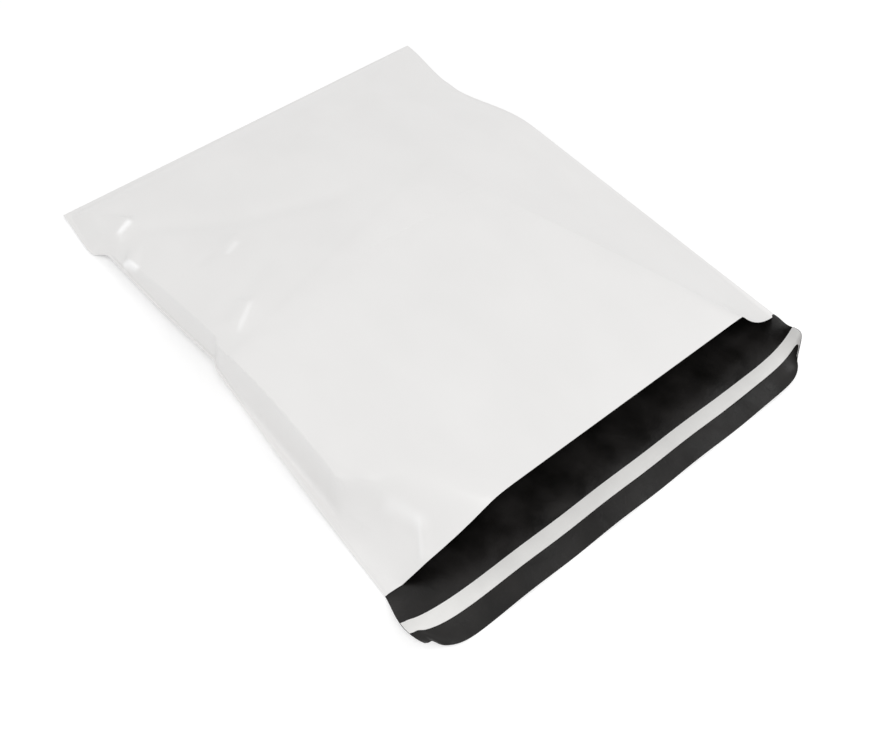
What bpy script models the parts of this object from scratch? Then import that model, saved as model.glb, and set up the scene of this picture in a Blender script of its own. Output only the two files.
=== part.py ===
"""Poly mailer bag: one folded and side-welded film pocket with a self-seal flap,
its strip of hot-melt adhesive and the release liner that covers the strip.

The bag lies on its back panel. X runs along the mouth, +Y to the closed end and +Z up.
The front panel stands raised over a flat crown, with the mouth open.
"""
import math

import bmesh
import bpy
import numpy as np
from mathutils import Vector

# Film pocket, in metres: x from the left seam, y from the mouth, z from the ground
POCKET_WIDTH = 0.400
POCKET_LENGTH = 0.490
FLAP_LENGTH = 0.061
FILM_THICKNESS = 0.0003
SEAM_BAND = 0.003
FOLD_BAND = 0.002
AIR_GAP = 0.0004

# Crown: the flat top of the raised front panel, turned in the pocket
CROWN_HEIGHT = 0.052
CROWN_WIDTH = 0.256
CROWN_FLARE = 0.006
CROWN_TURN = math.radians(16.0)
CROWN_SIDE_CLEARANCE = 0.013
CROWN_DEPTH = 0.217

# Left seam: drawn in and raised beside the crown, with a jog at its corner and a lift beyond
LEFT_DRAW = 0.009
LEFT_RISE = 0.020
LEFT_JOG_BEYOND_CROWN = 0.017
LEFT_JOG_LENGTH = 0.014
LEFT_FAR_DRAW = 0.014
LEFT_LIFT = 0.008
LEFT_LIFT_DRAW = 0.006
LEFT_LIFT_FROM_FOLD = 0.058
LEFT_LIFT_FALL = 0.024
LEFT_LAP = 0.003

# Right seam and fold: how far the seam is drawn in and how high both float
RIGHT_DRAW = 0.0075
RIGHT_RISE = 0.025
RIGHT_RISE_AT_MOUTH = 0.015
SEAM_SETTLE_LENGTH = 0.075
FOLD_RISE = 0.0012

# Left side: a flange along the seam, a steep wall, then a shoulder up to the crown
FLANGE_WIDTH = 0.010
WALL_ANGLE = math.radians(81.0)
WALL_ANGLE_AT_LIP = math.radians(35.0)
WALL_ANGLE_DROP = 0.15
WALL_START = 0.048
WALL_START_RUN = 0.036
WALL_END_FROM_FOLD = 0.112
WALL_END_RUN = 0.020
WALL_END_DROP = 0.45
SHOULDER_FALL = 0.40
SHOULDER_FALL_AT_LIP = 0.80
SHOULDER_SPREAD = 0.050
SHOULDER_ROUNDING = 0.0030

# Right side and closed end: slopes from the crown's edges to the seam and the fold
RIGHT_SLOPE_POWER = 1.0
RIGHT_SLOPE_POWER_AT_LIP = 1.8
RIGHT_LIP_RUN = 0.060
END_SLOPE_POWER = 0.75
END_SLOPE_POWER_AT_LEFT = 1.15
END_LEFT_RUN = 0.080
BACK_SLOPE_POWER = 1.60
INSIDE_CLIMB = 0.5
CREASE_ROUNDING = 0.0011
CREASE_ROUNDING_AT_LIP = 0.0040
FOOT_ROUNDING = 0.0010

# Roll of the front film down to the fold, fullest near the left corner
ROLL_HEIGHT = 0.0200
ROLL_TURN = 0.0200
ROLL_REACH = 0.060
ROLL_RUN = 0.110

# Mouth: the lip stands forward of the back panel, and the right corner of both
LIP_BULGE = 0.0105
LIP_BULGE_RUN = 0.085
MOUTH_SKEW = 0.009

# Flap ends, which curl off the ground
LEFT_CURL_RISE = 0.0150
LEFT_CURL_SHIFT = 0.0080
LEFT_CURL_DRAW = 0.0170
LEFT_CURL_DRAW_RUN = 0.0110
RIGHT_CURL_RISE = 0.0190
RIGHT_CURL_SHIFT = 0.0120
RIGHT_CURL_TUCK = 0.0100
RIGHT_CURL_DRAW = 0.0090
CURL_RUN = 0.020

# Self-seal strip on the flap
LINER_START = 0.0305
LINER_WIDTH = 0.0125
LINER_THICKNESS = 0.0003
ADHESIVE_WIDTH = 0.009
ADHESIVE_THICKNESS = 0.0003
STRIP_END_CLEARANCE = 0.0015
STRIP_GAP = 0.0003

# Mesh density
COLUMNS = 36
ROWS = 38
FLAP_ROWS = 3
LEFT_CROWDING = 5.0
EDGE_CROWDING = 1.5
STATION_RUN = 0.06
FLAT_TOLERANCE = 1e-7


def clear_scene():
    for item in list(bpy.data.objects):
        bpy.data.objects.remove(item, do_unlink=True)


def ease(value):
    """Smooth step from 0 to 1."""
    value = np.clip(value, 0.0, 1.0)
    return value * value * (3.0 - 2.0 * value)


def soft_minimum(heights, rounding):
    """The lowest of some heights, rounded where they cross."""
    lowest = np.minimum.reduce(heights)
    total = sum(np.exp((lowest - height) / rounding) for height in heights)
    return lowest - rounding * np.log(total)


def soft_positive(value, rounding):
    """The value where it is above 0, easing down to 0 below."""
    return rounding * np.logaddexp(0.0, value / rounding)


def crown_place(x, y):
    """Place in the crown's own axes: across from its left edge, along from its inner end."""
    dx = x - CROWN_SIDE_CLEARANCE
    dy = y - CROWN_DEPTH
    across = dx * math.cos(CROWN_TURN) + dy * math.sin(CROWN_TURN)
    along = dy * math.cos(CROWN_TURN) - dx * math.sin(CROWN_TURN)
    return across, along


def crown_distance(x, y):
    """Distance in plan from the crown, which runs out through the mouth."""
    across, along = crown_place(x, y)
    beside = np.maximum(np.maximum(-across, across - CROWN_WIDTH), 0.0)
    return np.hypot(beside, np.maximum(along, 0.0))


def left_seam(y):
    """Inset and height of the left seam, which jogs at the corner and lifts off beyond it."""
    jog = CROWN_DEPTH + LEFT_JOG_BEYOND_CROWN
    lift_end = POCKET_LENGTH - LEFT_LIFT_FROM_FOLD
    to_corner = np.clip(y / jog, 0.0, 1.0)
    past_corner = np.clip((POCKET_LENGTH - y) / (POCKET_LENGTH - jog), 0.0, 1.0)
    lifted = ease((lift_end - y) / LEFT_LIFT_FALL)
    to_lift = np.clip((lift_end - LEFT_LIFT_FALL - y) / (lift_end - jog), 0.0, 1.0)
    far = lifted * (LEFT_LIFT_DRAW + (LEFT_FAR_DRAW - LEFT_LIFT_DRAW) * to_lift)
    far -= (1.0 - lifted) * LEFT_LAP * ease((POCKET_LENGTH - y) / LEFT_LIFT_FROM_FOLD)
    near = LEFT_DRAW * to_corner
    beyond = ease((y - jog) / LEFT_JOG_LENGTH + 0.5)
    height = to_corner ** 1.6 * np.maximum(LEFT_RISE * past_corner ** 2, LEFT_LIFT * lifted)
    return near + (far - near) * beyond, height


def right_seam(y):
    """Place across and height of the right seam, which floats beside the crown."""
    crown_end = CROWN_DEPTH + CROWN_WIDTH * math.sin(CROWN_TURN)
    settle_start = POCKET_LENGTH - SEAM_SETTLE_LENGTH
    climb = RIGHT_RISE_AT_MOUTH + (RIGHT_RISE - RIGHT_RISE_AT_MOUTH) * np.clip(y / crown_end, 0.0, 1.0)
    height = climb * (1.0 - ease((y - crown_end) / (settle_start - crown_end)))
    draw = RIGHT_DRAW * (1.0 - ease((y - settle_start) / SEAM_SETTLE_LENGTH))
    return POCKET_WIDTH - draw, height


def shares_to_crown(x, y, from_left):
    """Share of the way from each closed edge to the crown: 0 on the edge, 1 on the crown."""
    gap = crown_distance(x, y)
    from_right = right_seam(y)[0] - SEAM_BAND - x
    from_fold = POCKET_LENGTH - FOLD_BAND - y
    reaches = [np.maximum(reach, 0.0) for reach in (from_left, from_right, from_fold)]
    return [reach / np.maximum(reach + gap, FLAT_TOLERANCE) for reach in reaches]


def edge_heights(y):
    return [left_seam(y)[1], right_seam(y)[1], np.full_like(y, FOLD_RISE)]


def back_height(x, y):
    """Outer face of the back panel: flat under the crown, rising to each closed edge."""
    from_left = x - left_seam(y)[0] - SEAM_BAND
    height = np.zeros_like(x)
    for rise, share in zip(edge_heights(y), shares_to_crown(x, y, from_left)):
        height = np.maximum(height, rise * (1.0 - share) ** BACK_SLOPE_POWER)
    return height


def slope_height(outside, reach, edge_height, power):
    """A slope from the crown's edge down to an edge of the pocket, that far away."""
    share = reach / np.maximum(reach + np.maximum(outside, 0.0), FLAT_TOLERANCE)
    slope = edge_height + (CROWN_HEIGHT - edge_height) * share ** power
    return slope + INSIDE_CLIMB * np.maximum(-outside, 0.0)


def left_wall_height(x, y):
    """The flange beside the left seam and the wall that climbs from it."""
    inset, seam_height = left_seam(y)
    wall_end = POCKET_LENGTH - WALL_END_FROM_FOLD
    to_corner = np.clip(y / CROWN_DEPTH, 0.0, 1.0)
    past_corner = np.clip((y - CROWN_DEPTH) / (wall_end - CROWN_DEPTH), 0.0, 1.0)
    foot = inset + SEAM_BAND + FLANGE_WIDTH * (1.0 - to_corner ** 2)
    steepness = 0.35 * np.clip(y / WALL_START, 0.0, 1.0)
    steepness += 0.65 * ease((y - WALL_START) / WALL_START_RUN)
    angle = WALL_ANGLE_AT_LIP + (WALL_ANGLE - WALL_ANGLE_AT_LIP) * steepness
    angle *= 1.0 - WALL_ANGLE_DROP * past_corner
    angle *= 1.0 - WALL_END_DROP * ease((y - wall_end) / WALL_END_RUN)
    return seam_height + np.tan(angle) * soft_positive(x - foot, FOOT_ROUNDING)


def front_height(x, y):
    """Outer face of the front panel: the crown, and the slopes down to the closed edges."""
    across, along = crown_place(x, y)
    seam_right, right_height = right_seam(y)
    near_lip = np.exp(-y / SHOULDER_SPREAD)
    fall = SHOULDER_FALL + (SHOULDER_FALL_AT_LIP - SHOULDER_FALL) * near_lip
    shoulder = CROWN_HEIGHT + across * fall
    from_right = np.maximum(seam_right - SEAM_BAND - x, 0.0)
    lip_share = np.clip(1.0 - y / RIGHT_LIP_RUN, 0.0, 1.0)
    right_power = RIGHT_SLOPE_POWER + (RIGHT_SLOPE_POWER_AT_LIP - RIGHT_SLOPE_POWER) * lip_share
    right_edge = CROWN_WIDTH + CROWN_FLARE * np.clip(y / CROWN_DEPTH, 0.0, 1.3)
    right = slope_height(across - right_edge, from_right, right_height, right_power)
    from_fold = np.maximum(POCKET_LENGTH - FOLD_BAND - y, 0.0)
    end_power = END_SLOPE_POWER + (END_SLOPE_POWER_AT_LEFT - END_SLOPE_POWER) * np.exp(-x / END_LEFT_RUN)
    end = slope_height(along, from_fold, FOLD_RISE, end_power)
    roll = ROLL_HEIGHT * (1.0 - np.exp(-from_fold / ROLL_TURN)) * np.exp(-from_fold / ROLL_REACH)
    end += roll * np.exp(-np.maximum(x, 0.0) / ROLL_RUN)
    crown = soft_minimum([np.full_like(x, CROWN_HEIGHT), shoulder, end], SHOULDER_ROUNDING)
    crown = soft_minimum([crown, right], CREASE_ROUNDING)
    rounding = CREASE_ROUNDING + (CREASE_ROUNDING_AT_LIP - CREASE_ROUNDING) * ease(1.8 - y / WALL_START)
    return soft_minimum([crown, left_wall_height(x, y)], rounding)


def shifted(grid, distance):
    """The grid moved along its upward normals."""
    normal = np.cross(np.gradient(grid, axis=0), np.gradient(grid, axis=1))
    normal /= np.linalg.norm(normal, axis=-1, keepdims=True)
    return grid + normal * distance


def graded(count, near_start, near_end):
    """Stations from 0 to 1, with an extra share of them crowded towards each end."""
    even = np.linspace(0.0, 1.0, 2001)
    density = 1.0 + near_start * np.exp(-even / STATION_RUN) + near_end * np.exp((even - 1.0) / STATION_RUN)
    filled = np.concatenate([[0.0], np.cumsum(0.5 * (density[1:] + density[:-1]))])
    return np.interp(np.linspace(0.0, filled[-1], count + 1), filled, even)


def panel_grids():
    """Outer faces of the back and the front panel, as grids of points."""
    band = SEAM_BAND / POCKET_WIDTH
    fold = FOLD_BAND / POCKET_LENGTH
    columns = graded(COLUMNS - 2, LEFT_CROWDING, EDGE_CROWDING)
    rows = graded(ROWS - 1, EDGE_CROWDING, EDGE_CROWDING)
    s = np.concatenate([[0.0], band + columns * (1.0 - 2.0 * band), [1.0]])
    t = np.concatenate([rows * (1.0 - fold), [1.0]])
    s, t = np.meshgrid(s, t, indexing="ij")
    y = t * POCKET_LENGTH
    x_left = left_seam(y)[0]
    x = x_left + s * (right_seam(y)[0] - x_left)
    skew = MOUTH_SKEW * s ** 8 * (1.0 - t) ** 3
    back = np.stack([x, y - skew, back_height(x, y)], axis=-1)

    doubled = back[..., 2] + 2.0 * FILM_THICKNESS
    raised = np.maximum(front_height(x, y), doubled + AIR_GAP)
    bulge = LIP_BULGE * (1.0 - t) ** 3 * ease(x / LIP_BULGE_RUN)
    between_bands = np.zeros(s.shape, dtype=bool)
    between_bands[2:-2, :-2] = True
    front = back.copy()
    front[..., 1] = np.where(between_bands, np.minimum(y - bulge, front[..., 1]), front[..., 1])
    front[..., 2] = np.where(between_bands, raised, doubled)
    return back, front


def flap_grid(mouth, lengths):
    """Under face of the flap, which runs on from the back panel's line at the mouth."""
    x0, y0, z0 = (mouth[:, None, axis] for axis in range(3))
    share = np.broadcast_to(lengths / FLAP_LENGTH, (len(mouth), len(lengths)))
    from_left = x0 - x0.min()
    left = np.exp(-from_left / CURL_RUN)
    right = np.exp((x0 - x0.max()) / CURL_RUN)
    left_arch = left * np.sin(math.pi * share ** 1.2)
    right_arch = right * np.sin(math.pi * share ** 1.5)
    tuck = RIGHT_CURL_SHIFT * ease(2.0 * share) + RIGHT_CURL_TUCK * ease(3.0 * share - 2.0)
    x = x0 - LEFT_CURL_SHIFT * left_arch - right * tuck
    left_draw = LEFT_CURL_DRAW * np.exp(-(from_left / LEFT_CURL_DRAW_RUN) ** 1.3)
    y = y0 * (1.0 - share) - share * FLAP_LENGTH + (left_draw + RIGHT_CURL_DRAW * right) * share ** 3
    z = z0 * (1.0 - ease(share) * (1.0 - 0.8 * right))
    z = z + LEFT_CURL_RISE * left_arch + RIGHT_CURL_RISE * right_arch
    return np.stack([x, y, z], axis=-1)


def flap_lengths():
    """Stations down the flap, with the edges of the liner and of the adhesive among them."""
    margin = 0.5 * (LINER_WIDTH - ADHESIVE_WIDTH)
    liner_end = LINER_START + LINER_WIDTH
    to_liner = np.linspace(0.0, LINER_START, FLAP_ROWS + 1)
    over_liner = [LINER_START + margin, 0.5 * (LINER_START + liner_end), liner_end - margin]
    to_edge = np.linspace(liner_end, FLAP_LENGTH, FLAP_ROWS + 1)
    return np.concatenate([to_liner, over_liner, to_edge])


class Skin:
    """Grids of points and the faces between them, gathered into one closed mesh."""

    def __init__(self):
        self.mesh = bmesh.new()

    def points(self, grid):
        return [[self.mesh.verts.new(point) for point in column] for column in grid]

    def cover(self, grid):
        for column, following in zip(grid[:-1], grid[1:]):
            self.join(column, following)

    def join(self, line, following):
        for j in range(len(line) - 1):
            self.triangle(line[j], following[j], following[j + 1])
            self.triangle(line[j], following[j + 1], line[j + 1])

    def triangle(self, *corners):
        """Adds a face; where two layers would meet in one face, neither is kept."""
        shared = self.mesh.faces.get(corners)
        if shared:
            self.mesh.faces.remove(shared)
        else:
            self.mesh.faces.new(corners)

    def finish(self, name, colour, roughness, origin):
        for point in [point for point in self.mesh.verts if not point.link_faces]:
            self.mesh.verts.remove(point)
        bmesh.ops.recalc_face_normals(self.mesh, faces=self.mesh.faces)
        bmesh.ops.translate(self.mesh, verts=self.mesh.verts, vec=-origin)
        data = bpy.data.meshes.new(name)
        self.mesh.to_mesh(data)
        self.mesh.free()
        data.materials.append(plastic(name + "_finish", colour, roughness))
        item = bpy.data.objects.new(name, data)
        bpy.context.scene.collection.objects.link(item)
        return item


def plastic(name, colour, roughness):
    material = bpy.data.materials.new(name)
    material.use_nodes = True
    shader = material.node_tree.nodes["Principled BSDF"]
    shader.inputs["Base Color"].default_value = (*colour, 1.0)
    shader.inputs["Roughness"].default_value = roughness
    shader.inputs["Metallic"].default_value = 0.0
    return material


def edge_row(grid, row):
    return [column[row] for column in grid]


def film_pocket(back, front, flap):
    """The folded sheet: front panel, back panel and flap in one, welded down both sides."""
    skin = Skin()
    sheet = np.concatenate([flap[:, :0:-1], back], axis=1)
    mouth = flap.shape[1] - 1
    weld = 0.5 * (back + front)
    lining = shifted(sheet, FILM_THICKNESS)
    lining[1:-1:len(back) - 3, mouth:] = weld[1:-1:len(back) - 3]
    lining[1:-1, -2] = weld[1:-1, -2]
    roof = shifted(front, -FILM_THICKNESS)

    outer_back = skin.points(sheet)
    outer_front = skin.points(front)
    flap_face = skin.points(lining[:, :mouth + 1])
    floor = [flap_face[0]]
    for i in range(1, len(lining) - 1):
        floor.append(flap_face[i] + skin.points([lining[i, mouth + 1:-1]])[0])
    floor.append(flap_face[-1])
    ceiling = [floor[1][mouth:]]
    for i in range(2, len(roof) - 2):
        ceiling.append(skin.points([roof[i, :-2]])[0] + [floor[i][-1]])
    ceiling.append(floor[-2][mouth:])

    skin.cover(outer_back)
    skin.cover(outer_front)
    skin.cover(flap_face)
    skin.cover([column[mouth:] for column in floor[1:-1]])
    skin.cover(ceiling)
    skin.join(edge_row(outer_back, 0), edge_row(flap_face, 0))
    skin.join(edge_row(outer_back, -1), edge_row(outer_front, -1))
    skin.join(edge_row(outer_front, 0)[1:-1], edge_row(ceiling, 0))
    for side, inward in ((0, 1), (-1, -2)):
        skin.join(outer_back[side][:mouth + 1], flap_face[side])
        skin.join(outer_back[side][mouth + 1:], outer_front[side][1:])
        corner = (outer_back[side][mouth + 1], outer_front[side][1], outer_front[side][0])
        skin.mesh.faces.new((*corner, flap_face[side][mouth], outer_back[side][mouth]))
        lip_end = (outer_front[side][0], outer_front[inward][0])
        skin.mesh.faces.new((*lip_end, flap_face[inward][mouth], flap_face[side][mouth]))
    return skin


def strip_on_flap(flap, lengths, start, width, lift, thickness):
    """A thin strip along the flap, lifted off its inner face."""
    skin = Skin()
    reversed_flap = flap[:, ::-1]
    over = (lengths >= start - FLAT_TOLERANCE) & (lengths <= start + width + FLAT_TOLERANCE)
    sides = []
    for distance in (lift, lift + thickness):
        face = shifted(reversed_flap, distance)[:, over[::-1]]
        for end, inward in ((0, 1), (-1, -2)):
            run = face[inward] - face[end]
            length = np.linalg.norm(run, axis=-1, keepdims=True)
            face[end] += run * STRIP_END_CLEARANCE / length
        sides.append(skin.points(face))
    under, top = sides
    skin.cover(under)
    skin.cover(top)
    for row in (0, -1):
        skin.join(edge_row(under, row), edge_row(top, row))
        skin.join(under[row], top[row])
    return skin


def build():
    clear_scene()
    back, front = panel_grids()
    lengths = flap_lengths()
    flap = flap_grid(back[:, 0], lengths)
    corners = np.concatenate([part.reshape(-1, 3) for part in (back, front, flap)])
    low, high = corners.min(axis=0), corners.max(axis=0)
    origin = Vector((0.5 * (low[0] + high[0]), 0.5 * (low[1] + high[1]), low[2]))

    film_pocket(back, front, flap).finish("film_pocket", (0.80, 0.80, 0.80), 0.40, origin)
    adhesive_start = LINER_START + 0.5 * (LINER_WIDTH - ADHESIVE_WIDTH)
    adhesive_lift = FILM_THICKNESS + STRIP_GAP
    adhesive = strip_on_flap(
        flap, lengths, adhesive_start, ADHESIVE_WIDTH, adhesive_lift, ADHESIVE_THICKNESS)
    adhesive.finish("adhesive_strip", (0.75, 0.68, 0.48), 0.25, origin)
    liner_lift = adhesive_lift + ADHESIVE_THICKNESS + STRIP_GAP
    liner = strip_on_flap(flap, lengths, LINER_START, LINER_WIDTH, liner_lift, LINER_THICKNESS)
    liner.finish("release_liner", (0.76, 0.76, 0.75), 0.50, origin)


build()
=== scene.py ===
import math
from collections import Counter

import bpy
import numpy as np
from mathutils import Matrix, Vector


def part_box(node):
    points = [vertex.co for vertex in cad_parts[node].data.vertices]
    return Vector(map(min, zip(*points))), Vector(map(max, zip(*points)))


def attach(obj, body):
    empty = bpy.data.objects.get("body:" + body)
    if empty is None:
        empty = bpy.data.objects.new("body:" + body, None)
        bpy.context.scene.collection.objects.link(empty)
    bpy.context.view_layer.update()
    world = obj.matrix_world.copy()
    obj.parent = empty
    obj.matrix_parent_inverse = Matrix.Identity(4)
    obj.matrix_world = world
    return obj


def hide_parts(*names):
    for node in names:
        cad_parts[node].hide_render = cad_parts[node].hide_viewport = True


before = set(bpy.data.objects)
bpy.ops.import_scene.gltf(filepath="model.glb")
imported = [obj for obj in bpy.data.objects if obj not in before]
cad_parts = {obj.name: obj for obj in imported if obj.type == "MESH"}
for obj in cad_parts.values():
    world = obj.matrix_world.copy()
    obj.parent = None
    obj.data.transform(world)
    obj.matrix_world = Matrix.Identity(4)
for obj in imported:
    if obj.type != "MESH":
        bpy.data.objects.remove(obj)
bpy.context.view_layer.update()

# Film pocket, in metres: x from the left seam, y from the mouth, z from the ground
POCKET_WIDTH = 0.400
POCKET_LENGTH = 0.490
FLAP_LENGTH = 0.061
FILM_THICKNESS = 0.0002
SEAM_BAND = 0.002
FOLD_BAND = 0.002
AIR_GAP = 0.0004

# Crown: the flat top of the raised front panel, turned in the pocket
CROWN_HEIGHT = 0.052
CROWN_WIDTH = 0.256
CROWN_FLARE = 0.006
CROWN_FLARE_LIMIT = 1.3
CROWN_TURN = math.radians(16.0)
CROWN_SIDE_CLEARANCE = 0.013
CROWN_DEPTH = 0.217

# Side seams: how far they are drawn in and how high they float
LEFT_DRAW = 0.009
LEFT_RISE = 0.020
LEFT_RISE_POWER = 1.6
LEFT_JOG_PLACE = 0.236
LEFT_JOG_LENGTH = 0.011
LEFT_FAR_DRAW = 0.014
LEFT_LIFT = 0.008
LEFT_LIFT_DRAW = 0.006
LEFT_LIFT_END = 0.432
LEFT_LIFT_FALL = 0.024
LEFT_LAP = 0.003
RIGHT_DRAW = 0.0075
RIGHT_RISE = 0.025
RIGHT_RISE_AT_MOUTH = 0.015
SEAM_SETTLE_LENGTH = 0.075
FOLD_RISE = 0.0012

# Left side: a flange along the seam, a steep wall, then a shoulder up to the crown
FLANGE_WIDTH = 0.010
WALL_ANGLE = math.radians(81.0)
WALL_ANGLE_AT_LIP = math.radians(35.0)
WALL_ANGLE_DROP = 0.15
WALL_START = 0.048
WALL_START_RUN = 0.036
WALL_START_SHARE = 0.35
WALL_END = 0.378
WALL_END_RUN = 0.020
WALL_END_DROP = 0.45
SHOULDER_FALL = 0.40
SHOULDER_FALL_AT_LIP = 0.80
SHOULDER_SPREAD = 0.050
SHOULDER_ROUNDING = 0.0030

# Right side and closed end: slopes from the crown's edges to the seam and the fold
RIGHT_SLOPE_POWER = 1.0
RIGHT_SLOPE_POWER_AT_LIP = 1.8
RIGHT_LIP_RUN = 0.060
END_SLOPE_POWER = 0.75
END_SLOPE_POWER_AT_LEFT = 1.15
END_LEFT_RUN = 0.080
BACK_SLOPE_POWER = 1.60
INSIDE_CLIMB = 0.5
CREASE_ROUNDING = 0.0011
CREASE_ROUNDING_AT_LIP = 0.0040
FOOT_ROUNDING = 0.0010
FOOT_ROUNDING_AT_LIP = 0.0050
LIP_ROUNDING_REACH = 1.8
LEFT_SAG = 0.009
LEFT_SAG_RUN = 0.030
LEFT_SAG_LEAD = 0.030
LEFT_SAG_ONSET = 0.055
LEFT_SAG_FADE = 0.060

# Roll of the front film down to the fold, fullest near the left corner
ROLL_HEIGHT = 0.0190
ROLL_TURN = 0.0200
ROLL_REACH = 0.070
ROLL_RUN = 0.160

# Mouth: the lip stands forward of the back panel, and the right corner of both
LIP_BULGE = 0.0105
LIP_BULGE_RUN = 0.085
MOUTH_SKEW = 0.009
MOUTH_SKEW_POWER = 8
MOUTH_FADE_POWER = 3

# Pleats and dents of the front film: both ends, half width towards the mouth and
# towards the fold, and height
PLEATS = [
    ((0.016, 0.412), (0.044, 0.431), 0.0042, 0.0200, 0.0046),
    ((-0.007, 0.398), (0.020, 0.371), 0.0040, 0.0160, 0.0032),
    ((0.034, 0.418), (0.112, 0.342), 0.0090, 0.0120, -0.0020),
    ((0.092, 0.355), (0.206, 0.300), 0.0090, 0.0120, -0.0016),
    ((0.080, 0.322), (0.094, 0.333), 0.0035, 0.0080, 0.0018),
    ((0.050, 0.326), (0.074, 0.330), 0.0050, 0.0050, -0.0008),
    ((0.033, 0.233), (0.065, 0.257), 0.0040, 0.0120, 0.0022),
    ((0.026, 0.250), (0.110, 0.290), 0.0090, 0.0120, -0.0008),
    ((0.024, 0.222), (0.100, 0.212), 0.0060, 0.0090, -0.0005),
    ((0.090, 0.233), (0.240, 0.231), 0.0060, 0.0080, -0.0003),
    ((0.232, 0.233), (0.286, 0.195), 0.0060, 0.0080, -0.0003),
    ((0.022, 0.118), (0.034, 0.050), 0.0055, 0.0055, 0.0010),
    ((0.031, 0.072), (0.0465, 0.013), 0.0050, 0.0050, 0.0014),
    ((0.0475, 0.023), (0.0310, -0.002), 0.0040, 0.0040, 0.0010),
    ((0.024, 0.086), (0.028, 0.028), 0.0060, 0.0060, -0.0012),
    ((0.150, 0.420), (0.300, 0.330), 0.0140, 0.0200, 0.0008),
    ((0.230, 0.440), (0.360, 0.400), 0.0120, 0.0160, 0.0010),
    ((0.300, 0.250), (0.372, 0.330), 0.0100, 0.0100, -0.0008),
    ((0.325, 0.140), (0.384, 0.215), 0.0090, 0.0090, -0.0006),
]
PLEAT_FADE = 0.25

# Sharp creases of the front film: both ends and half width, then depth in mm
SHARP_CREASES = [
    ((0.344, -0.016), (0.290, 0.200), 0.0030, 0.32),
    ((0.305, 0.130), (0.268, 0.292), 0.0028, 0.16),
    ((0.252, 0.236), (0.290, 0.232), 0.0024, 0.10),
    ((0.150, 0.236), (0.242, 0.229), 0.0024, -0.12),
    ((0.0470, 0.022), (0.0315, -0.001), 0.0024, 0.20),
    ((0.016, 0.066), (0.024, 0.034), 0.0022, 0.14),
]
CREASE_FADE = 0.25

# Painted highlights: white streaks painted into the film's colour where its pleats glint: both ends,
# half width, and share of white
PAINTED_HIGHLIGHTS = [
    ((0.0205, 0.4150), (0.0405, 0.4250), 0.0038, 0.95),
    ((0.0095, 0.3900), (0.0165, 0.3640), 0.0036, 0.95),
    ((0.0740, 0.3160), (0.0930, 0.3240), 0.0046, 0.28),
    ((0.0325, 0.2280), (0.0620, 0.2520), 0.0034, 0.34),
    ((0.0340, 0.0500), (0.0490, 0.0080), 0.0070, 0.22),
    ((0.0480, 0.0240), (0.0310, -0.0040), 0.0040, 0.22),
]

# Flap ends, which curl off the ground
LEFT_CURL_RISE = 0.0150
LEFT_CURL_SHIFT = 0.0080
LEFT_CURL_DRAW = 0.0170
LEFT_CURL_DRAW_RUN = 0.0110
LEFT_NICK = 0.0030
LEFT_NICK_PLACE = 0.0050
LEFT_NICK_LENGTH = 0.0022
RIGHT_CURL_RISE = 0.0190
RIGHT_CURL_SHIFT = 0.0120
RIGHT_CURL_TUCK = 0.0100
RIGHT_SHIFT_END = 1 / 2
RIGHT_TUCK_START = 2 / 3
RIGHT_CURL_DRAW = 0.0090
CURL_RUN = 0.020
LEFT_CURL_POWER = 1.2
RIGHT_CURL_POWER = 1.5
RIGHT_CURL_HOLD = 0.8
LEFT_DRAW_POWER = 1.3
CURL_DRAW_POWER = 3
FLAP_WAVE_LENGTH = 0.085
FLAP_WAVE_HEIGHT = 0.0018
FLAP_WAVE_TWIST = 2.0

# Self-seal strip on the flap
LINER_START = 0.0305
LINER_WIDTH = 0.0125
LINER_TAIL = 0.0150
LINER_TAIL_RUN = 0.0035
LINER_TAIL_POWER = 1.5
ADHESIVE_LIFT = 0.0003
ADHESIVE_THICKNESS = 0.0002
LINER_LIFT = 0.0006
LINER_THICKNESS = 0.0002

# Mesh density
COLUMNS = 144
ROWS = 156
FLAP_ROWS = 9
LINER_ROWS = 6
LEFT_CROWDING = 5.0
EDGE_CROWDING = 1.5
STATION_RUN = 0.06
STATION_SAMPLES = 2001
SMALL = 1e-7
MM_PER_METRE = 1000.0
EDGE_ANGLE = math.radians(50.0)

# Camera: set at the photograph's angle, measured from the mouth's left corner
CAMERA_FROM_CORNER = Vector((-0.1600, -0.2797, 0.6680))
CAMERA_AZIMUTH = math.radians(37.903)
CAMERA_PITCH = math.radians(52.072)
CAMERA_ROLL = math.radians(-1.508)
LENS_MM = 42.314
SENSOR_MM = 36.0

# Light: a white surround, two soft lamps and a floor that fades to the surround
SURROUND_STRENGTH = 0.68
LAMP_WATTS = 27.8
LAMP_SIZE = 1.4
LAMP_PLACE = Vector((-0.80, -1.30, 2.60))
SIDE_LAMP_WATTS = 4.2
SIDE_LAMP_SIZE = 0.5
SIDE_LAMP_PLACE = Vector((1.57, 0.26, 2.13))
FLOOR_SIZE = 8.0
FLOOR_DROP = 0.0002
FLOOR_LIFT = 0.20
FLOOR_FADE_START = 0.75
FLOOR_FADE_END = 1.90

film_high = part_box("film_pocket")[1]
CORNER = np.array([film_high[0] - POCKET_WIDTH, film_high[1] - POCKET_LENGTH, 0.0])


def ease(value):
    """Smooth step from 0 to 1."""
    value = np.clip(value, 0.0, 1.0)
    return value * value * (3.0 - 2.0 * value)


def soft_minimum(heights, rounding):
    """The lowest of some heights, rounded where they cross."""
    lowest = np.minimum.reduce(heights)
    total = sum(np.exp((lowest - height) / rounding) for height in heights)
    return lowest - rounding * np.log(total)


def soft_positive(value, rounding):
    """The value where it is above 0, easing down to 0 below."""
    return rounding * np.logaddexp(0.0, value / rounding)


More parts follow.
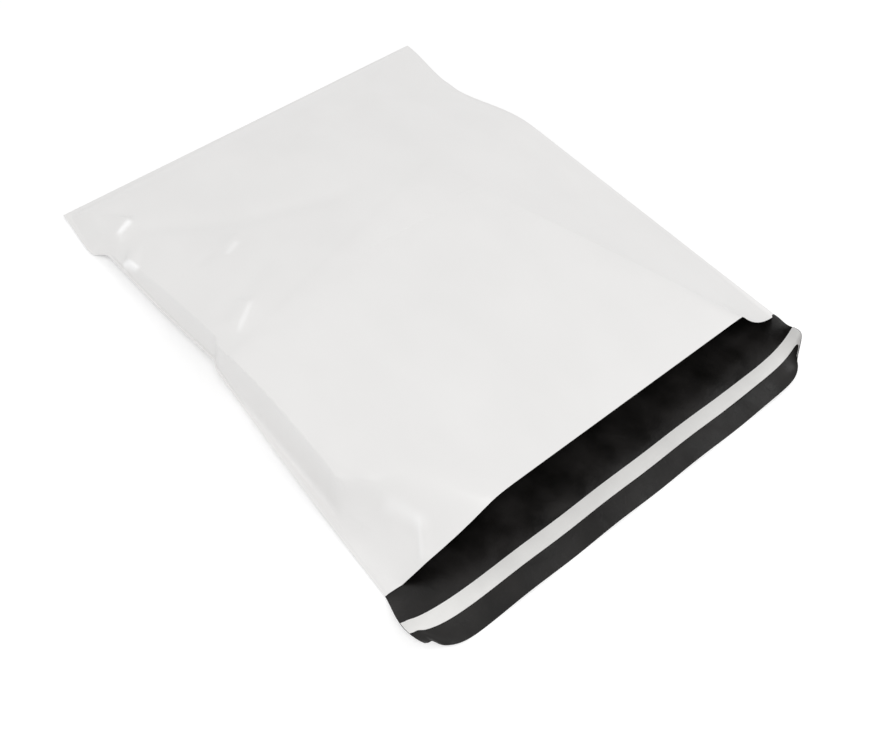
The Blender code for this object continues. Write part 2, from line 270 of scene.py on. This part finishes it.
def crown_place(x, y):
    """Place in the crown's own axes: across from its left edge, along from its inner end."""
    dx = x - CROWN_SIDE_CLEARANCE
    dy = y - CROWN_DEPTH
    across = dx * math.cos(CROWN_TURN) + dy * math.sin(CROWN_TURN)
    along = dy * math.cos(CROWN_TURN) - dx * math.sin(CROWN_TURN)
    return across, along


def crown_distance(x, y):
    """Distance in plan from the crown, which runs out through the mouth."""
    across, along = crown_place(x, y)
    beside = np.maximum(np.maximum(-across, across - CROWN_WIDTH), 0.0)
    return np.hypot(beside, np.maximum(along, 0.0))


def left_seam(y):
    """Inset and height of the left seam, which jogs at the corner and lifts off beyond it."""
    rest = POCKET_LENGTH - LEFT_JOG_PLACE
    to_corner = np.clip(y / LEFT_JOG_PLACE, 0.0, 1.0)
    past_corner = np.clip((POCKET_LENGTH - y) / rest, 0.0, 1.0)
    lifted = ease((LEFT_LIFT_END - y) / LEFT_LIFT_FALL)
    lift_run = LEFT_LIFT_END - LEFT_JOG_PLACE
    to_lift = np.clip((LEFT_LIFT_END - LEFT_LIFT_FALL - y) / lift_run, 0.0, 1.0)
    far = lifted * (LEFT_LIFT_DRAW + (LEFT_FAR_DRAW - LEFT_LIFT_DRAW) * to_lift)
    far -= (1.0 - lifted) * LEFT_LAP * ease((POCKET_LENGTH - y) / (POCKET_LENGTH - LEFT_LIFT_END))
    near = LEFT_DRAW * to_corner
    beyond = ease((y - LEFT_JOG_PLACE) / LEFT_JOG_LENGTH + 0.5)
    height = to_corner ** LEFT_RISE_POWER * np.maximum(LEFT_RISE * past_corner ** 2, LEFT_LIFT * lifted)
    return near + (far - near) * beyond, height


def right_seam(y):
    """Place across and height of the right seam, which floats beside the crown."""
    crown_end = CROWN_DEPTH + CROWN_WIDTH * math.sin(CROWN_TURN)
    settle_start = POCKET_LENGTH - SEAM_SETTLE_LENGTH
    to_crown_end = np.clip(y / crown_end, 0.0, 1.0)
    climb = RIGHT_RISE_AT_MOUTH + (RIGHT_RISE - RIGHT_RISE_AT_MOUTH) * to_crown_end
    height = climb * (1.0 - ease((y - crown_end) / (settle_start - crown_end)))
    draw = RIGHT_DRAW * (1.0 - ease((y - settle_start) / SEAM_SETTLE_LENGTH))
    return POCKET_WIDTH - draw, height


def shares_to_crown(x, y, from_left):
    """Share of the way from each closed edge to the crown: 0 on the edge, 1 on the crown."""
    gap = crown_distance(x, y)
    from_right = right_seam(y)[0] - SEAM_BAND - x
    from_fold = POCKET_LENGTH - FOLD_BAND - y
    reaches = [np.maximum(reach, 0.0) for reach in (from_left, from_right, from_fold)]
    return [reach / np.maximum(reach + gap, SMALL) for reach in reaches]


def edge_heights(y):
    return [left_seam(y)[1], right_seam(y)[1], np.full_like(y, FOLD_RISE)]


def back_height(x, y):
    """Outer face of the back panel: flat under the crown, rising to each closed edge."""
    from_left = x - left_seam(y)[0] - SEAM_BAND
    height = np.zeros_like(x)
    for rise, share in zip(edge_heights(y), shares_to_crown(x, y, from_left)):
        height = np.maximum(height, rise * (1.0 - share) ** BACK_SLOPE_POWER)
    return height


def slope_height(outside, reach, edge_height, power):
    """A slope from the crown's edge down to an edge of the pocket, that far away."""
    share = reach / np.maximum(reach + np.maximum(outside, 0.0), SMALL)
    slope = edge_height + (CROWN_HEIGHT - edge_height) * share ** power
    return slope + INSIDE_CLIMB * np.maximum(-outside, 0.0)


def left_wall_height(x, y):
    """The flange beside the left seam and the wall that climbs from it."""
    inset, seam_height = left_seam(y)
    to_corner = np.clip(y / CROWN_DEPTH, 0.0, 1.0)
    past_corner = np.clip((y - CROWN_DEPTH) / (WALL_END - CROWN_DEPTH), 0.0, 1.0)
    foot = inset + SEAM_BAND + FLANGE_WIDTH * (1.0 - to_corner ** 2)
    near_lip = ease(LIP_ROUNDING_REACH - y / WALL_START)
    rounding = FOOT_ROUNDING + (FOOT_ROUNDING_AT_LIP - FOOT_ROUNDING) * near_lip
    steepness = WALL_START_SHARE * np.clip(y / WALL_START, 0.0, 1.0)
    steepness += (1.0 - WALL_START_SHARE) * ease((y - WALL_START) / WALL_START_RUN)
    angle = WALL_ANGLE_AT_LIP + (WALL_ANGLE - WALL_ANGLE_AT_LIP) * steepness
    angle *= 1.0 - WALL_ANGLE_DROP * past_corner
    angle *= 1.0 - WALL_END_DROP * ease((y - WALL_END) / WALL_END_RUN)
    return seam_height + np.tan(angle) * soft_positive(x - foot, rounding)


def pleats(x, y):
    """Height that the pleats and dents add, each a ridge or a valley that fades at both ends."""
    height = np.zeros_like(x)
    for (x0, y0), (x1, y1), to_mouth, to_fold, rise in PLEATS:
        length = math.hypot(x1 - x0, y1 - y0)
        along = ((x - x0) * (x1 - x0) + (y - y0) * (y1 - y0)) / length ** 2
        across = ((x - x0) * (y1 - y0) - (y - y0) * (x1 - x0)) / length
        fade = ease(along / PLEAT_FADE) * ease((1.0 - along) / PLEAT_FADE)
        half_width = np.where(across > 0.0, to_mouth, to_fold)
        height += rise * fade * np.exp(-(across / half_width) ** 2)
    return height


def front_height(x, y):
    """Outer face of the front panel: the crown, and the slopes down to the closed edges."""
    across, along = crown_place(x, y)
    seam_right, right_height = right_seam(y)
    beside_lip = np.exp(-np.maximum(y, 0.0) / SHOULDER_SPREAD)
    fall = SHOULDER_FALL + (SHOULDER_FALL_AT_LIP - SHOULDER_FALL) * beside_lip
    shoulder = CROWN_HEIGHT + across * fall
    from_right = np.maximum(seam_right - SEAM_BAND - x, 0.0)
    lip_share = np.clip(1.0 - y / RIGHT_LIP_RUN, 0.0, 1.0)
    right_power = RIGHT_SLOPE_POWER + (RIGHT_SLOPE_POWER_AT_LIP - RIGHT_SLOPE_POWER) * lip_share
    right_edge = CROWN_WIDTH + CROWN_FLARE * np.clip(y / CROWN_DEPTH, 0.0, CROWN_FLARE_LIMIT)
    right = slope_height(across - right_edge, from_right, right_height, right_power)
    from_fold = np.maximum(POCKET_LENGTH - FOLD_BAND - y, 0.0)
    beside_left = np.exp(-x / END_LEFT_RUN)
    end_power = END_SLOPE_POWER + (END_SLOPE_POWER_AT_LEFT - END_SLOPE_POWER) * beside_left
    end = slope_height(along, from_fold, FOLD_RISE, end_power)
    roll = ROLL_HEIGHT * (1.0 - np.exp(-(from_fold / ROLL_TURN) ** 2))
    roll *= np.exp(-from_fold / ROLL_REACH)
    end += roll * np.exp(-np.maximum(x, 0.0) / ROLL_RUN)
    sag = LEFT_SAG * ease((y - CROWN_DEPTH + LEFT_SAG_LEAD) / LEFT_SAG_ONSET)
    sag *= ease(from_fold / LEFT_SAG_FADE)
    end -= sag * np.exp(-np.maximum(x, 0.0) / LEFT_SAG_RUN)
    crown = soft_minimum([np.full_like(x, CROWN_HEIGHT), shoulder, end], SHOULDER_ROUNDING)
    crown = soft_minimum([crown, right], CREASE_ROUNDING)
    near_lip = ease(LIP_ROUNDING_REACH - y / WALL_START)
    rounding = CREASE_ROUNDING + (CREASE_ROUNDING_AT_LIP - CREASE_ROUNDING) * near_lip
    return soft_minimum([crown, left_wall_height(x, y)], rounding) + pleats(x, y)


def shifted(grid, distance):
    """The grid moved along its upward normals."""
    normal = np.cross(np.gradient(grid, axis=0), np.gradient(grid, axis=1))
    normal /= np.linalg.norm(normal, axis=-1, keepdims=True)
    return grid + normal * distance


def graded(count, near_start, near_end):
    """Stations from 0 to 1, with an extra share of them crowded towards each end."""
    even = np.linspace(0.0, 1.0, STATION_SAMPLES)
    density = 1.0 + near_start * np.exp(-even / STATION_RUN)
    density += near_end * np.exp((even - 1.0) / STATION_RUN)
    filled = np.concatenate([[0.0], np.cumsum(0.5 * (density[1:] + density[:-1]))])
    return np.interp(np.linspace(0.0, filled[-1], count + 1), filled, even)


def panel_grids():
    """Outer faces of the back and the front panel, as grids of points."""
    band = SEAM_BAND / POCKET_WIDTH
    fold = FOLD_BAND / POCKET_LENGTH
    columns = graded(COLUMNS - 2, LEFT_CROWDING, EDGE_CROWDING)
    rows = graded(ROWS - 1, EDGE_CROWDING, EDGE_CROWDING)
    s = np.concatenate([[0.0], band + columns * (1.0 - 2.0 * band), [1.0]])
    t = np.concatenate([rows * (1.0 - fold), [1.0]])
    s, t = np.meshgrid(s, t, indexing="ij")
    y = t * POCKET_LENGTH
    x_left = left_seam(y)[0]
    x = x_left + s * (right_seam(y)[0] - x_left)
    at_mouth = (1.0 - t) ** MOUTH_FADE_POWER
    skew = MOUTH_SKEW * s ** MOUTH_SKEW_POWER * at_mouth
    back = np.stack([x, y - skew, back_height(x, y)], axis=-1)

    doubled = back[..., 2] + 2.0 * FILM_THICKNESS
    raised = np.maximum(front_height(x, y), doubled + AIR_GAP)
    bulge = LIP_BULGE * at_mouth * ease(x / LIP_BULGE_RUN)
    between_bands = np.zeros(s.shape, dtype=bool)
    between_bands[2:-2, :-2] = True
    front = back.copy()
    front[..., 1] = np.where(between_bands, np.minimum(y - bulge, front[..., 1]), front[..., 1])
    front[..., 2] = np.where(between_bands, raised, doubled)
    return back, front


def flap_grid(mouth, lengths):
    """Under face of the flap, which runs on from the back panel's line at the mouth."""
    x0, y0, z0 = (mouth[:, None, axis] for axis in range(3))
    share = np.broadcast_to(lengths / FLAP_LENGTH, (len(mouth), lengths.shape[-1]))
    from_left = x0 - x0.min()
    from_right = x0.max() - x0
    left = np.exp(-from_left / CURL_RUN)
    right = np.exp(-from_right / CURL_RUN)
    left_arch = left * np.sin(math.pi * share ** LEFT_CURL_POWER)
    right_arch = right * np.sin(math.pi * share ** RIGHT_CURL_POWER)
    tucked = ease((share - RIGHT_TUCK_START) / (1.0 - RIGHT_TUCK_START))
    drawn_in = RIGHT_CURL_SHIFT * ease(share / RIGHT_SHIFT_END) + RIGHT_CURL_TUCK * tucked
    x = x0 - LEFT_CURL_SHIFT * left_arch - right * drawn_in
    left_draw = LEFT_CURL_DRAW * np.exp(-(from_left / LEFT_CURL_DRAW_RUN) ** LEFT_DRAW_POWER)
    left_draw += LEFT_NICK * np.exp(-((from_left - LEFT_NICK_PLACE) / LEFT_NICK_LENGTH) ** 2)
    drawn_back = (left_draw + RIGHT_CURL_DRAW * right) * share ** CURL_DRAW_POWER
    y = y0 * (1.0 - share) - share * FLAP_LENGTH + drawn_back
    z = z0 * (1.0 - ease(share) * (1.0 - RIGHT_CURL_HOLD * right))
    z = z + LEFT_CURL_RISE * left_arch + RIGHT_CURL_RISE * right_arch
    waves = 0.5 + 0.5 * np.sin(x0 / FLAP_WAVE_LENGTH * math.tau + FLAP_WAVE_TWIST * share)
    return np.stack([x, y, z + FLAP_WAVE_HEIGHT * waves * share], axis=-1)


def linear(hex_colour):
    """An sRGB hex colour as linear RGBA."""
    values = [int(hex_colour[i:i + 2], 16) / 255.0 for i in (1, 3, 5)]
    channels = [v / 12.92 if v <= 0.04045 else ((v + 0.055) / 1.055) ** 2.4 for v in values]
    return (*channels, 1.0)


class Skin:
    """Grids of points and the faces between them, gathered into one mesh."""

    def __init__(self):
        self.points = []
        self.count = 0
        self.faces = []
        self.slots = []

    def grid(self, points):
        index = self.count + np.arange(points.shape[0] * points.shape[1])
        self.points.append(points.reshape(-1, 3))
        self.count += len(index)
        return index.reshape(points.shape[:2])

    def add(self, faces, slot):
        self.faces += faces
        self.slots += [slot] * len(faces)

    def cover(self, index, slot, upward=True):
        near, far = index[:-1, :-1], index[1:, 1:]
        halves = [[near, index[1:, :-1], far], [near, far, index[:-1, 1:]]]
        for half in halves:
            triangles = np.stack(half if upward else half[::-1], axis=-1)
            self.add(triangles.reshape(-1, 3).tolist(), slot)

    def join(self, line, following, slot):
        self.cover(np.stack([line, following]), slot)

    def finish(self, name, materials):
        """The object made of all the faces, but for two that meet back to back."""
        corners = [frozenset(face) for face in self.faces]
        sides = Counter(corners)
        kept = [i for i, face in enumerate(corners) if sides[face] == 1]
        faces = [self.faces[i] for i in kept]
        used = np.unique(np.concatenate([np.ravel(face) for face in faces]))
        places = np.full(self.count, -1)
        places[used] = np.arange(len(used))
        faces = [[int(places[corner]) for corner in face] for face in faces]
        points = (np.concatenate(self.points)[used] + CORNER).tolist()
        mesh = bpy.data.meshes.new(name)
        mesh.from_pydata(points, [], faces)
        for material in materials:
            mesh.materials.append(material)
        mesh.polygons.foreach_set("material_index", [self.slots[i] for i in kept])
        mesh.shade_smooth()
        mesh.set_sharp_from_angle(angle=EDGE_ANGLE)
        item = bpy.data.objects.new(name, mesh)
        bpy.context.scene.collection.objects.link(item)
        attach(item, "root")
        return item


def flap_lengths():
    """Stations down the flap, with both edges of the liner among them."""
    liner_end = LINER_START + LINER_WIDTH
    to_liner = np.linspace(0.0, LINER_START, FLAP_ROWS + 1)
    over_liner = np.linspace(LINER_START, liner_end, LINER_ROWS + 1)
    to_edge = np.linspace(liner_end, FLAP_LENGTH, FLAP_ROWS + 1)
    return np.concatenate([to_liner, over_liner[1:-1], to_edge])


WHITE_SKIN, BLACK_SKIN = 0, 1


def film_pocket(back, front, flap, materials):
    """The folded sheet: front panel, back panel and flap in one, welded down both sides."""
    skin = Skin()
    sheet = np.concatenate([flap[:, :0:-1], back], axis=1)
    mouth = flap.shape[1] - 1
    weld = 0.5 * (back + front)
    lining = shifted(sheet, FILM_THICKNESS)
    lining[1, mouth:] = weld[1]
    lining[-2, mouth:] = weld[-2]
    lining[1:-1, -2] = weld[1:-1, -2]

    under = skin.grid(sheet)
    over = skin.grid(front)
    floor = skin.grid(lining)
    ceiling = skin.grid(shifted(front, -FILM_THICKNESS))[1:-1, :-1]
    ceiling[0] = floor[1, mouth:-1]
    ceiling[-1] = floor[-2, mouth:-1]
    ceiling[:, -1] = floor[1:-1, -2]

    skin.cover(under, WHITE_SKIN, upward=False)
    skin.cover(over, WHITE_SKIN)
    skin.cover(floor[:, :mouth + 1], BLACK_SKIN)
    skin.cover(floor[1:-1, mouth:-1], BLACK_SKIN)
    skin.cover(ceiling, BLACK_SKIN, upward=False)
    skin.join(floor[:, 0], under[:, 0], BLACK_SKIN)
    skin.join(over[1:-1, 0], ceiling[:, 0], BLACK_SKIN)
    skin.join(under[:, -1], over[:, -1], WHITE_SKIN)
    skin.join(under[0, :mouth + 1], floor[0, :mouth + 1], BLACK_SKIN)
    skin.join(floor[-1, :mouth + 1], under[-1, :mouth + 1], BLACK_SKIN)
    skin.join(under[0, mouth + 1:], over[0, 1:], WHITE_SKIN)
    skin.join(over[-1, 1:], under[-1, mouth + 1:], WHITE_SKIN)
    skin.add([
        [under[0, mouth], floor[0, mouth], under[0, mouth + 1]],
        [floor[0, mouth], over[0, 0], over[0, 1], under[0, mouth + 1]],
        [under[-1, mouth], under[-1, mouth + 1], floor[-1, mouth]],
        [floor[-1, mouth], under[-1, mouth + 1], over[-1, 1], over[-1, 0]],
        [floor[0, mouth], floor[1, mouth], over[1, 0], over[0, 0]],
        [floor[-2, mouth], floor[-1, mouth], over[-1, 0], over[-2, 0]],
    ], WHITE_SKIN)
    return skin.finish("mailer_film", materials)


def thin_strip(name, under, over, material):
    """A closed strip between two grids of points, the lower one first."""
    skin = Skin()
    under = skin.grid(under)
    over = skin.grid(over)
    skin.cover(under, 0, upward=False)
    skin.cover(over, 0)
    skin.join(over[:, 0], under[:, 0], 0)
    skin.join(under[:, -1], over[:, -1], 0)
    skin.join(under[0], over[0], 0)
    skin.join(over[-1], under[-1], 0)
    return skin.finish(name, [material])


def release_liner(mouth, material):
    """The off-white strip over the adhesive, from edge to edge of the flap. A narrow tail of it
    is drawn down the flap's right end."""
    from_right = mouth[:, 0].max() - mouth[:, 0]
    tail = LINER_TAIL * np.exp(-(from_right / LINER_TAIL_RUN) ** LINER_TAIL_POWER)
    width = LINER_WIDTH + tail
    across = np.linspace(1.0, 0.0, 2 * LINER_ROWS + 1)
    facing_up = flap_grid(mouth, LINER_START + width[:, None] * across)
    under = shifted(facing_up, LINER_LIFT)
    over = shifted(facing_up, LINER_LIFT + LINER_THICKNESS)
    return thin_strip("release_liner_strip", under, over, material)


def adhesive_strip(flap, lengths, material):
    """The hot-melt adhesive, hidden under the liner and a little narrower than it."""
    facing_up = flap[:, ::-1]
    inside = (lengths > LINER_START + SMALL) & (lengths < LINER_START + LINER_WIDTH - SMALL)
    bands = inside[::-1]
    under = shifted(facing_up, ADHESIVE_LIFT)[2:-2, bands]
    over = shifted(facing_up, ADHESIVE_LIFT + ADHESIVE_THICKNESS)[2:-2, bands]
    return thin_strip("hot_melt_strip", under, over, material)


def node(tree, kind, inputs=None, output=0, **settings):
    """Add a node with its settings, set or link its inputs, and give one of its outputs."""
    made = tree.nodes.new(kind)
    for name, value in settings.items():
        setattr(made, name, value)
    for name, value in (inputs or {}).items():
        if isinstance(value, bpy.types.NodeSocket):
            tree.links.new(value, made.inputs[name])
        else:
            made.inputs[name].default_value = value
    return made.outputs[output]


def new_material(name):
    material = bpy.data.materials.new(name)
    material.use_nodes = True
    tree = material.node_tree
    return material, tree, tree.nodes["Principled BSDF"]


def pattern(tree, size_mm, inputs, kind="ShaderNodeTexNoise", output="Fac", turn=0.0):
    """A texture over the object, with features about that many mm across, along and up."""
    place = node(tree, "ShaderNodeTexCoord", output="Object")
    turned = node(
        tree, "ShaderNodeVectorRotate", {"Vector": place, "Angle": turn}, rotation_type="Z_AXIS")
    scale = tuple(MM_PER_METRE / size for size in size_mm)
    scaled = node(tree, "ShaderNodeMapping", {"Vector": turned, "Scale": scale})
    return node(tree, kind, {"Vector": scaled, "Scale": 1.0, **inputs}, output)


def spread(value, low, high, to_low=0.0, to_high=1.0):
    """Inputs of a map range node that moves the value from one range to another."""
    return {"Value": value, "From Min": low, "From Max": high, "To Min": to_low, "To Max": to_high}


def mottled(tree, patches, low, high, first, second):
    """One colour turning into another as the patches go from low to high."""
    share = node(tree, "ShaderNodeMapRange", spread(patches, low, high))
    colours = {"Color1": linear(first), "Color2": linear(second)}
    return node(tree, "ShaderNodeMixRGB", {"Fac": share, **colours})


def layered_relief(tree, layers):
    """Bumps laid over each other, each a height from 0 to 1 and its depth in mm."""
    under = {}
    for height, depth_mm in layers:
        inputs = {"Height": height, "Distance": depth_mm / MM_PER_METRE, **under}
        under = {"Normal": node(tree, "ShaderNodeBump", inputs)}
    return under["Normal"]


def sharp_crease(tree, start, end, half_width):
    """1 along a straight crease seen from above, falling to 0 beside it and at both ends."""
    run = Vector((end[0] - start[0], end[1] - start[1], 0.0))
    origin = Vector(CORNER) + Vector((*start, 0.0))
    turn = (0.0, 0.0, math.atan2(run.y, run.x))
    place = node(tree, "ShaderNodeTexCoord", output="Object")
    axes = {"Vector": place, "Location": origin, "Rotation": turn}
    along_it = node(tree, "ShaderNodeMapping", axes, vector_type="TEXTURE")
    along, across, _ = node(tree, "ShaderNodeSeparateXYZ", {"Vector": along_it}).node.outputs
    beside = node(tree, "ShaderNodeMath", {0: across}, operation="ABSOLUTE")
    fade = CREASE_FADE * run.length
    share = 1.0
    for limit in (
        spread(beside, 0.0, half_width, 1.0, 0.0),
        spread(along, 0.0, fade),
        spread(along, run.length - fade, run.length, 1.0, 0.0),
    ):
        factor = node(tree, "ShaderNodeMapRange", limit, interpolation_type="SMOOTHSTEP")
        share = node(tree, "ShaderNodeMath", {0: share, 1: factor}, operation="MULTIPLY")
    return share


def white_polyethylene_film():
    """White co-extruded film: satin, with broad soft highlights. It shows faint die lines down
    its length, drawn coarser than real ones so that they show, fine crinkles from handling, a
    few sharp creases, painted highlights (white streaks where pleats glint), and patches less glossy
    than others."""
    material, tree, shader = new_material("white_polyethylene_film")
    shader.inputs["IOR"].default_value = 1.51
    shader.inputs["Specular IOR Level"].default_value = 0.42
    patches = pattern(tree, (55.0, 90.0, 55.0), {"Detail": 2.0, "Roughness": 0.50})
    colour = mottled(tree, patches, 0.15, 0.85, "#E7E6E5", "#ECEBEA")
    # Painted highlights: each streak mixes white into the base colour where a pleat's glint falls
    for start, end, half_width, highlight_strength in PAINTED_HIGHLIGHTS:
        highlight_mask = sharp_crease(tree, start, end, half_width)
        share = node(tree, "ShaderNodeMath", {0: highlight_mask, 1: highlight_strength}, operation="MULTIPLY")
        highlight_mix = {"Fac": share, "Color1": colour, "Color2": linear("#FFFFFF")}
        colour = node(tree, "ShaderNodeMixRGB", highlight_mix)
    tree.links.new(colour, shader.inputs["Base Color"])
    gloss = spread(patches, 0.10, 0.90, 0.285, 0.345)
    roughness = node(tree, "ShaderNodeMapRange", gloss, interpolation_type="SMOOTHSTEP")
    tree.links.new(roughness, shader.inputs["Roughness"])

    waves = pattern(tree, (34.0, 60.0, 34.0), {"Detail": 1.0})
    crinkles = pattern(tree, (7.0, 10.0, 7.0), {"Detail": 4.0, "Roughness": 0.60, "Distortion": 0.8})
    die_lines = pattern(tree, (1.6, 260.0, 260.0), {"Detail": 2.0})
    layers = [(waves, 0.45), (crinkles, 0.070), (die_lines, 0.004)]
    for start, end, half_width, depth_mm in SHARP_CREASES:
        layers.append((sharp_crease(tree, start, end, half_width), depth_mm))
    tree.links.new(layered_relief(tree, layers), shader.inputs["Normal"])
    return material


def black_polyethylene_film():
    """Carbon-black inner layer of the same film: near-black with a soft grey sheen, crinkled
    more visibly than the white side because each small face catches the light."""
    material, tree, shader = new_material("black_polyethylene_film")
    shader.inputs["IOR"].default_value = 1.51
    shader.inputs["Specular IOR Level"].default_value = 0.25
    patches = pattern(tree, (26.0, 38.0, 26.0), {"Detail": 3.0, "Roughness": 0.55})
    colour = mottled(tree, patches, 0.30, 0.70, "#0D0C0B", "#201E1D")
    tree.links.new(colour, shader.inputs["Base Color"])
    gloss = spread(patches, 0.30, 0.70, 0.34, 0.48)
    roughness = node(tree, "ShaderNodeMapRange", gloss, interpolation_type="SMOOTHSTEP")
    tree.links.new(roughness, shader.inputs["Roughness"])

    waves = pattern(tree, (26.0, 34.0, 26.0), {"Detail": 1.0, "Distortion": 0.5})
    crinkles = pattern(tree, (7.0, 10.0, 7.0), {"Detail": 4.0, "Roughness": 0.60, "Distortion": 1.0})
    tree.links.new(layered_relief(tree, [(waves, 1.60), (crinkles, 0.28)]), shader.inputs["Normal"])
    return material


def siliconed_liner_film():
    """Silicone-coated release film: off-white and smooth, so it has a soft even sheen, with
    fine wrinkles across it where it was laid on the adhesive."""
    material, tree, shader = new_material("siliconed_liner_film")
    patches = pattern(tree, (18.0, 18.0, 18.0), {"Detail": 2.0})
    colour = mottled(tree, patches, 0.15, 0.85, "#E2E1DF", "#EDECEA")
    tree.links.new(colour, shader.inputs["Base Color"])
    gloss = spread(patches, 0.10, 0.90, 0.32, 0.48)
    roughness = node(tree, "ShaderNodeMapRange", gloss, interpolation_type="SMOOTHSTEP")
    tree.links.new(roughness, shader.inputs["Roughness"])

    kinks = {"Detail": 3.0, "Roughness": 0.6, "Distortion": 0.6}
    wrinkles = pattern(tree, (2.2, 14.0, 14.0), kinks, turn=0.25)
    tree.links.new(layered_relief(tree, [(wrinkles, 0.10)]), shader.inputs["Normal"])
    return material


def hot_melt_adhesive():
    """Pressure-sensitive hot melt: pale amber and glossy, with ribs along the strip from the
    coating die and small bubbles."""
    material, tree, shader = new_material("hot_melt_adhesive")
    shader.inputs["IOR"].default_value = 1.48
    ribs = pattern(tree, (120.0, 0.8, 120.0), {"Detail": 1.0})
    colour = mottled(tree, ribs, 0.15, 0.85, "#CAB783", "#E0D3AA")
    tree.links.new(colour, shader.inputs["Base Color"])
    bubbles = pattern(tree, (1.4, 1.4, 1.4), {}, kind="ShaderNodeTexVoronoi", output="Distance")
    gloss = spread(bubbles, 0.0, 0.6, 0.30, 0.16)
    roughness = node(tree, "ShaderNodeMapRange", gloss, interpolation_type="SMOOTHSTEP")
    tree.links.new(roughness, shader.inputs["Roughness"])

    domes = spread(bubbles, 0.0, 0.35, 1.0, 0.0)
    raised = node(tree, "ShaderNodeMapRange", domes, interpolation_type="SMOOTHSTEP")
    tree.links.new(layered_relief(tree, [(ribs, 0.06), (raised, 0.05)]), shader.inputs["Normal"])
    return material


def seen_directly(tree):
    """1 for what the camera sees, straight or in a reflection, and 0 for light on the object."""
    seen = 0.0
    for ray in ("Is Camera Ray", "Is Glossy Ray", "Is Transmission Ray"):
        path = node(tree, "ShaderNodeLightPath", output=ray)
        seen = node(tree, "ShaderNodeMath", {0: seen, 1: path}, operation="MAXIMUM")
    return seen


def white_floor():
    """Matt paper that keeps the shadow near the object and fades to the white surround."""
    bpy.ops.mesh.primitive_plane_add(size=FLOOR_SIZE, location=(0.0, 0.0, -FLOOR_DROP))
    floor = bpy.context.object
    floor.name = "studio_floor"
    material, tree, shader = new_material("studio_floor_paper")
    shader.inputs["Base Color"].default_value = linear("#F3F3F3")
    shader.inputs["Roughness"].default_value = 0.9
    shader.inputs["Specular IOR Level"].default_value = 0.0
    shader.inputs["Emission Color"].default_value = linear("#FFFFFF")
    place = node(tree, "ShaderNodeTexCoord", output="Object")
    distance = node(tree, "ShaderNodeVectorMath", {0: place}, "Value", operation="LENGTH")
    fade = spread(distance, FLOOR_FADE_START, FLOOR_FADE_END, FLOOR_LIFT, 1.0)
    lift = node(tree, "ShaderNodeMapRange", fade, interpolation_type="SMOOTHSTEP")
    glow = node(tree, "ShaderNodeMath", {0: lift, 1: seen_directly(tree)}, operation="MULTIPLY")
    tree.links.new(glow, shader.inputs["Emission Strength"])
    floor.data.materials.append(material)


def softbox(name, size, watts, place):
    """A square lamp that faces the middle of the floor."""
    lamp = bpy.data.lights.new(name, "AREA")
    lamp.shape = "SQUARE"
    lamp.size = size
    lamp.energy = watts
    item = bpy.data.objects.new(name, lamp)
    bpy.context.scene.collection.objects.link(item)
    item.location = place
    item.rotation_euler = (-place).to_track_quat("-Z", "Y").to_euler()


def surround_and_lamps():
    """A white surround, a broad lamp above the camera's side and a small one to the right."""
    world = bpy.data.worlds.new("studio_surround")
    bpy.context.scene.world = world
    world.use_nodes = True
    tree = world.node_tree
    levels = spread(seen_directly(tree), 0.0, 1.0, SURROUND_STRENGTH, 1.0)
    strength = node(tree, "ShaderNodeMapRange", levels)
    background = tree.nodes["Background"]
    background.inputs["Color"].default_value = linear("#FFFFFF")
    tree.links.new(strength, background.inputs["Strength"])

    softbox("overhead_softbox", LAMP_SIZE, LAMP_WATTS, LAMP_PLACE)
    softbox("side_softbox", SIDE_LAMP_SIZE, SIDE_LAMP_WATTS, SIDE_LAMP_PLACE)


def camera_at_photo_angle():
    look = Vector((
        math.sin(CAMERA_AZIMUTH) * math.cos(CAMERA_PITCH),
        math.cos(CAMERA_AZIMUTH) * math.cos(CAMERA_PITCH),
        -math.sin(CAMERA_PITCH),
    ))
    level = Vector((math.cos(CAMERA_AZIMUTH), -math.sin(CAMERA_AZIMUTH), 0.0))
    upright = level.cross(look)
    right = level * math.cos(CAMERA_ROLL) + upright * math.sin(CAMERA_ROLL)
    up = upright * math.cos(CAMERA_ROLL) - level * math.sin(CAMERA_ROLL)
    data = bpy.data.cameras.new("photo_camera")
    data.lens = LENS_MM
    data.sensor_width = SENSOR_MM
    item = bpy.data.objects.new("photo_camera", data)
    bpy.context.scene.collection.objects.link(item)
    turn = Matrix((right, up, -look)).transposed().to_4x4()
    item.matrix_world = Matrix.Translation(Vector(CORNER) + CAMERA_FROM_CORNER) @ turn
    bpy.context.scene.camera = item


def build():
    bpy.context.scene.view_settings.view_transform = "Standard"
    back, front = panel_grids()
    lengths = flap_lengths()
    flap = flap_grid(back[:, 0], lengths)

    film = film_pocket(back, front, flap, [white_polyethylene_film(), black_polyethylene_film()])
    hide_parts("film_pocket")

    liner = release_liner(back[:, 0], siliconed_liner_film())
    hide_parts("release_liner")

    adhesive = adhesive_strip(flap, lengths, hot_melt_adhesive())
    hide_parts("adhesive_strip")

    white_floor()
    surround_and_lamps()
    camera_at_photo_angle()


build()
